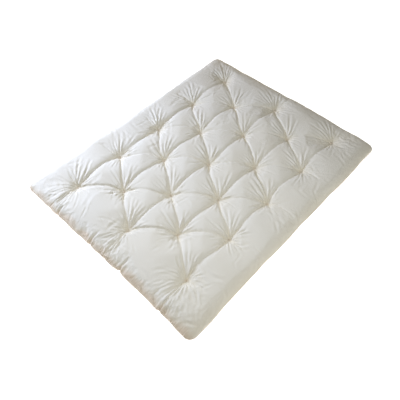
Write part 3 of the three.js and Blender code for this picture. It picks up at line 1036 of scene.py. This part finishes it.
def connect(tree, node, inputs):
    """Sets a node's inputs. Each is a constant, or the output that it is linked from."""
    for socket, value in inputs.items():
        if isinstance(value, bpy.types.NodeSocket):
            tree.links.new(value, node.inputs[socket])
        else:
            node.inputs[socket].default_value = value


def add_node(tree, kind, inputs, output, **settings):
    """Adds a node and gives the output that is asked for."""
    node = tree.nodes.new("ShaderNode" + kind)
    for name, value in settings.items():
        setattr(node, name, value)
    connect(tree, node, inputs)
    return node.outputs[output]


def math_node(tree, operation, *values):
    return add_node(tree, "Math", dict(enumerate(values)), "Value", operation=operation)


def noise_node(tree, source, scale, detail=2.0, distortion=0.0):
    inputs = {"Vector": source, "Scale": scale, "Detail": detail, "Distortion": distortion}
    return add_node(tree, "TexNoise", inputs, "Fac")


def wave_node(tree, source, direction, scale, distortion, detail, detail_scale=1.0):
    inputs = {"Vector": source, "Scale": scale, "Distortion": distortion, "Detail": detail,
              "Detail Scale": detail_scale}
    return add_node(tree, "TexWave", inputs, "Fac", bands_direction=direction)


def remap(tree, value, low, high, to_low=0.0, to_high=1.0, **settings):
    """The value, moved from one range to another."""
    inputs = {"Value": value, "From Min": low, "From Max": high, "To Min": to_low,
              "To Max": to_high}
    return add_node(tree, "MapRange", inputs, "Result", **settings)


def mix_node(tree, share, first, second):
    inputs = {"Factor": share, "A": first, "B": second}
    return add_node(tree, "Mix", inputs, "Result", data_type="RGBA")


def bump_node(tree, strength, distance, height, **others):
    inputs = {"Strength": strength, "Distance": distance, "Height": height, **others}
    return add_node(tree, "Bump", inputs, "Normal")


def new_group(name, given, results):
    """An empty node group with its sockets, the outputs it is given and its output node."""
    tree = bpy.data.node_groups.new(name, "ShaderNodeTree")
    for way, sockets in (("INPUT", given), ("OUTPUT", results)):
        for socket, kind in sockets.items():
            tree.interface.new_socket(socket, in_out=way, socket_type="NodeSocket" + kind)
    return tree, tree.nodes.new("NodeGroupInput").outputs, tree.nodes.new("NodeGroupOutput")


def add_group(tree, group, inputs):
    """Adds a node group's node and gives all its outputs."""
    node = tree.nodes.new("ShaderNodeGroup")
    node.node_tree = group
    connect(tree, node, inputs)
    return node.outputs


def new_material(name):
    """A material with its node tree and its shader."""
    material = bpy.data.materials.new(name)
    material.use_nodes = True
    tree = material.node_tree
    return material, tree, next(node for node in tree.nodes if node.type == "BSDF_PRINCIPLED")


def weave_group():
    """Colour and normal of a woven cloth: threads both ways, flecks, soft patches and painted shade low
    down.
    """
    tree, given, result = new_group(
        "Woven Cotton",
        {"Sheet": "Vector", "Place": "Vector", "Color": "Color", "Shade": "Color",
         "Threads": "Float"},
        {"Color": "Color", "Roughness": "Float", "Normal": "Vector"})
    warp, weft = (wave_node(tree, given["Sheet"], way, given["Threads"], 0.6, 1.0) for way in "XY")
    threads = math_node(tree, "MULTIPLY", warp, weft)
    patches = remap(tree, noise_node(tree, given["Place"], 3.2, 3.0), 0.35, 0.75, 0.0, 0.30)
    flecks = remap(tree, noise_node(tree, given["Place"], 260.0), 0.74, 0.80, 0.0, 0.35)
    height = add_node(tree, "SeparateXYZ", {"Vector": given["Place"]}, "Z")
    # Painted shade: the lower the cloth lies, in the dimples and down the rolled edges, the warmer and
    # darker it is
    painted_low_shade = remap(tree, height, 0.080, 0.046, 0.0, 0.95)
    most = math_node(tree, "MAXIMUM", math_node(tree, "MAXIMUM", patches, flecks), painted_low_shade)
    connect(tree, result, {
        "Color": mix_node(tree, most, given["Color"], given["Shade"]),
        "Roughness": remap(tree, threads, 0.0, 1.0, 0.82, 0.97),
        "Normal": bump_node(tree, 0.35, 0.0004, threads),
    })
    return tree


def gathered_group():
    """A mask of the hand-closed end, for its gathers and its painted shade, and the height of the fine
    gathers there and of the crinkles.
    """
    tree, given, result = new_group(
        "Gathered End", {"Sheet": "Vector", "Place": "Vector"}, {"Mask": "Float", "Height": "Float"})
    along = add_node(tree, "SeparateXYZ", {"Vector": given["Sheet"]}, "X")
    ragged = math_node(tree, "MULTIPLY_ADD", noise_node(tree, given["Sheet"], 9.0), 0.12, along)
    mask = remap(tree, ragged, 0.12 - HALF_LENGTH, 0.05 - HALF_LENGTH,
                 interpolation_type="SMOOTHSTEP")
    wrinkles = wave_node(tree, given["Sheet"], "Y", 25.0, 7.0, 2.0, 0.35)
    gathers = math_node(tree, "MULTIPLY", wrinkles, mask)
    crinkle = math_node(tree, "MULTIPLY", noise_node(tree, given["Place"], 30.0, 3.0), 0.9)
    connect(tree, result, {"Height": math_node(tree, "ADD", gathers, crinkle), "Mask": mask})
    return tree


def ticking_material(finishes):
    material, tree, shader = new_material("cotton ticking")
    sheet = add_node(tree, "UVMap", {}, "UV", uv_map="sheet")
    place = add_node(tree, "TexCoord", {}, "Object")
    # Darker, warmer colour: the cloth's own patches and flecks, and painted shade low down
    shade = [channel * share for channel, share in zip(finishes.ticking, (0.965, 0.93, 0.85))]
    threads = math.pi / 10 / finishes.weave
    weave = add_group(tree, weave_group(), {
        "Sheet": sheet,
        "Place": place,
        "Color": (*finishes.ticking, 1),
        "Shade": (*shade, 1),
        "Threads": threads,
    })
    # The closed end's mask also lays painted shade over that end
    end = add_group(tree, gathered_group(), {"Sheet": sheet, "Place": place})
    # Painted shade in the ties' pits and in the strip beside the seam
    shade_marks = add_node(tree, "Attribute", {}, "Fac", attribute_name="painted_shade")
    shade_mask = math_node(tree, "MAXIMUM", shade_marks, end["Mask"])
    # The base colour is mixed towards the painted shade colour wherever shade is painted
    connect(tree, shader, {
        "Base Color": mix_node(tree, shade_mask, weave["Color"], (*finishes.painted_shade_color, 1)),
        "Roughness": weave["Roughness"],
        "Normal": bump_node(tree, 0.6, 0.0022, end["Height"], Normal=weave["Normal"]),
        "Sheen Weight": 0.15,
        "Sheen Roughness": 0.6,
        "Specular IOR Level": 0.2,
    })
    return material


def fibre_group():
    """Colour and height of cotton fibres: fine hairs and loose tufts, with painted shade making it
    darker in between.
    """
    if "Cotton Fibre" in bpy.data.node_groups:
        return bpy.data.node_groups["Cotton Fibre"]
    tree, given, result = new_group(
        "Cotton Fibre",
        {"Place": "Vector", "Color": "Color", "Shade": "Color", "Hairs": "Float", "Tufts": "Float"},
        {"Color": "Color", "Height": "Float"})
    hairs = noise_node(tree, given["Place"], given["Hairs"], 4.0, 1.6)
    tufts = noise_node(tree, given["Place"], given["Tufts"], 2.0, 0.4)
    height = math_node(tree, "MULTIPLY_ADD", hairs, 0.5, tufts)
    color = mix_node(tree, remap(tree, height, 0.55, 1.0), given["Shade"], given["Color"])
    connect(tree, result, {"Height": height, "Color": color})
    return tree


def fibre_material(name, color, hairs, tufts, depth):
    material, tree, shader = new_material(name)
    fibre = add_group(tree, fibre_group(), {
        "Place": add_node(tree, "TexCoord", {}, "Object"),
        "Color": (*color, 1),
        # Painted shade: the colour darkens where the fibres' relief is low
        "Shade": (*[channel * 0.78 for channel in color], 1),
        "Hairs": hairs,
        "Tufts": tufts,
    })
    connect(tree, shader, {
        "Base Color": fibre["Color"],
        "Normal": bump_node(tree, 0.6, depth, fibre["Height"]),
        "Roughness": 0.95,
        "Specular IOR Level": 0.15,
    })
    return material


def wadding_material(finishes):
    return fibre_material("cotton wadding", finishes.wadding, 420.0, 45.0, 0.002)


def twine_material(finishes):
    return fibre_material("cotton twine", finishes.twine, 2600.0, 500.0, 0.0003)


def shared_material(name, make, finishes):
    """The material of this name, made once and then used again."""
    return bpy.data.materials[name] if name in bpy.data.materials else make(finishes)


def finish_piece(piece, material, nodes):
    piece.data.materials.append(material)
    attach(piece, "root")
    if nodes:
        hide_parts(*nodes)


class MATTRESS_OT_casing(bpy.types.Operator):
    """Model the two panels of ticking, with their pillows, creases, pleats and rolled edge"""

    bl_idname = "mattress.casing"
    bl_label = "Casing"

    def execute(self, context):
        sizes, finishes = context.scene.mattress_sizes, context.scene.mattress_finishes
        for side, node in ((1, "cover_top_panel"), (-1, "cover_bottom_panel")):
            piece = make_panel(sizes, side)
            ticking = shared_material("cotton ticking", ticking_material, finishes)
            finish_piece(piece, ticking, [node])
        return {"FINISHED"}


class MATTRESS_OT_filling(bpy.types.Operator):
    """Model the four batts of wadding between the panels"""

    bl_idname = "mattress.filling"
    bl_label = "Filling"

    def execute(self, context):
        finishes = context.scene.mattress_finishes
        x, y = filling_plan()
        over, under = inner_limit(1, x, y), inner_limit(-1, x, y)
        for layer in range(BATT_COUNT):
            piece = make_batt(layer, x, y, under, over)
            node = f"cotton_batt_{layer + 1}"
            wadding = shared_material("cotton wadding", wadding_material, finishes)
            finish_piece(piece, wadding, [node])
        return {"FINISHED"}


class MATTRESS_OT_ties(bpy.types.Operator):
    """Model the ties of twine, each with its bar stitch, its knot and its cut ends"""

    bl_idname = "mattress.ties"
    bl_label = "Ties"

    def execute(self, context):
        sizes, finishes = context.scene.mattress_ties, context.scene.mattress_finishes
        draw = np.random.default_rng(71)
        for node, tuft in zip(TIES, TUFTS):
            name = node.replace("tuft_tie", "tie")
            piece = twine_piece(name, tie_paths(sizes, tuft, draw), sizes.strand, sizes.twist)
            twine = shared_material("cotton twine", twine_material, finishes)
            finish_piece(piece, twine, [node])
        return {"FINISHED"}


class MATTRESS_OT_closing(bpy.types.Operator):
    """Model the hand stitches that close the gathered end"""

    bl_idname = "mattress.closing"
    bl_label = "Closing stitches"

    def execute(self, context):
        sizes, finishes = context.scene.mattress_ties, context.scene.mattress_finishes
        piece = twine_piece("closing_stitches", closing_paths(sizes), sizes.strand * 0.6)
        twine = shared_material("cotton twine", twine_material, finishes)
        finish_piece(piece, twine, [])
        return {"FINISHED"}


class MATTRESS_OT_stage(bpy.types.Operator):
    """Set the pale floor, the soft light and the camera"""

    bl_idname = "mattress.stage"
    bl_label = "Stage"

    def execute(self, context):
        settings = context.scene.mattress_stage
        add_floor(settings)
        add_world()
        add_lights()
        add_camera(settings)
        return {"FINISHED"}


def add_floor(settings):
    """A floor that gives off light, so that it stays white and shows no shadow."""
    bm = bmesh.new()
    bmesh.ops.create_grid(bm, x_segments=1, y_segments=1, size=settings.floor_size / 2)
    floor = add_mesh("floor", bm)
    material, tree, shader = new_material("pale floor")
    grain = add_node(tree, "TexNoise", {"Scale": 0.8}, "Fac")
    connect(tree, shader, {
        "Base Color": remap(tree, grain, 0.0, 1.0, 0.90, 0.94),
        "Roughness": 0.9,
        "Specular IOR Level": 0.0,
        "Emission Color": (1, 1, 1, 1),
        "Emission Strength": 1.0,
    })
    floor.data.materials.append(material)


def add_world():
    """A dim warm world that looks white to the camera."""
    world = bpy.data.worlds.new("room")
    world.use_nodes = True
    tree = world.node_tree
    dim = tree.nodes["Background"]
    connect(tree, dim, {"Color": (1.0, 0.85, 0.62, 1), "Strength": 0.07})
    pale = add_node(tree, "Background", {"Color": (1, 1, 1, 1)}, "Background")
    seen = add_node(tree, "LightPath", {}, "Is Camera Ray")
    either = {"Fac": seen, 1: dim.outputs["Background"], 2: pale}
    surface = add_node(tree, "MixShader", either, "Shader")
    connect(tree, tree.nodes["World Output"], {"Surface": surface})
    bpy.context.scene.world = world


def add_area_light(name, place, aim, size, power, color):
    data = bpy.data.lights.new(name, "AREA")
    data.shape = "RECTANGLE"
    data.size, data.size_y = size
    data.energy = power
    data.color = color
    light = add_object(name, data)
    light.location = place
    light.rotation_euler = (Vector(aim) - Vector(place)).to_track_quat("-Z", "Y").to_euler()


def add_lights():
    add_area_light("window", (-0.85, 2.35, 1.0), (-1.0, 0, 0), (1.5, 0.8), 75, (0.73, 0.805, 1.0))
    add_area_light("wall", (1.7, 2.1, 0.9), (0.5, 0.4, 0), (1.2, 0.6), 6, (1.0, 0.74, 0.38))
    add_area_light("lamp", (-0.65, -0.65, 2.6), (-0.6, -0.45, 0), (1.5, 1.5), 39,
                   (0.985, 0.985, 0.92))
    add_area_light("bounce", (0.2, -2.6, 0.9), (0.1, -0.7, 0), (2.0, 0.8), 7.5, (0.96, 1.0, 0.99))
    bpy.context.scene.view_settings.view_transform = "Standard"


def add_camera(settings):
    data = bpy.data.cameras.new("camera")
    data.lens = settings.lens
    data.sensor_width = 36
    camera = add_object("camera", data)
    place = Vector((-1.6256, -1.5030, 2.5429))
    right = Vector((0.6843, -0.7290, -0.0151))
    up = Vector((0.5863, 0.5378, 0.6058))
    back = Vector((-0.4335, -0.4234, 0.7955))
    turn = Matrix((right, up, back)).transposed()
    camera.matrix_world = Matrix.Translation(place) @ turn.to_4x4()
    bpy.context.scene.camera = camera


class MATTRESS_PT_panel(bpy.types.Panel):
    """Lists the steps and the sizes"""

    bl_label = "Tufted Mattress"
    bl_space_type = "VIEW_3D"
    bl_region_type = "UI"
    bl_category = "Mattress"

    def draw(self, context):
        for step in STEPS:
            self.layout.operator(step.bl_idname)
        scene = context.scene
        for group in (scene.mattress_sizes, scene.mattress_ties, scene.mattress_finishes):
            for name in group.bl_rna.properties.keys():
                if name not in ("rna_type", "name"):
                    self.layout.prop(group, name)


STEPS = (
    MATTRESS_OT_casing,
    MATTRESS_OT_filling,
    MATTRESS_OT_ties,
    MATTRESS_OT_closing,
    MATTRESS_OT_stage,
)
CLASSES = (CasingSizes, TieSizes, Finishes, StageSettings, *STEPS, MATTRESS_PT_panel)


def register():
    for cls in CLASSES:
        bpy.utils.register_class(cls)
    bpy.types.Scene.mattress_sizes = bpy.props.PointerProperty(type=CasingSizes)
    bpy.types.Scene.mattress_ties = bpy.props.PointerProperty(type=TieSizes)
    bpy.types.Scene.mattress_finishes = bpy.props.PointerProperty(type=Finishes)
    bpy.types.Scene.mattress_stage = bpy.props.PointerProperty(type=StageSettings)


def unregister():
    del bpy.types.Scene.mattress_sizes
    del bpy.types.Scene.mattress_ties
    del bpy.types.Scene.mattress_finishes
    del bpy.types.Scene.mattress_stage
    for cls in reversed(CLASSES):
        bpy.utils.unregister_class(cls)


def main():
    register()
    bpy.ops.mattress.casing()
    bpy.ops.mattress.filling()
    bpy.ops.mattress.ties()
    bpy.ops.mattress.closing()
    bpy.ops.mattress.stage()


if __name__ == "__main__":
    main()
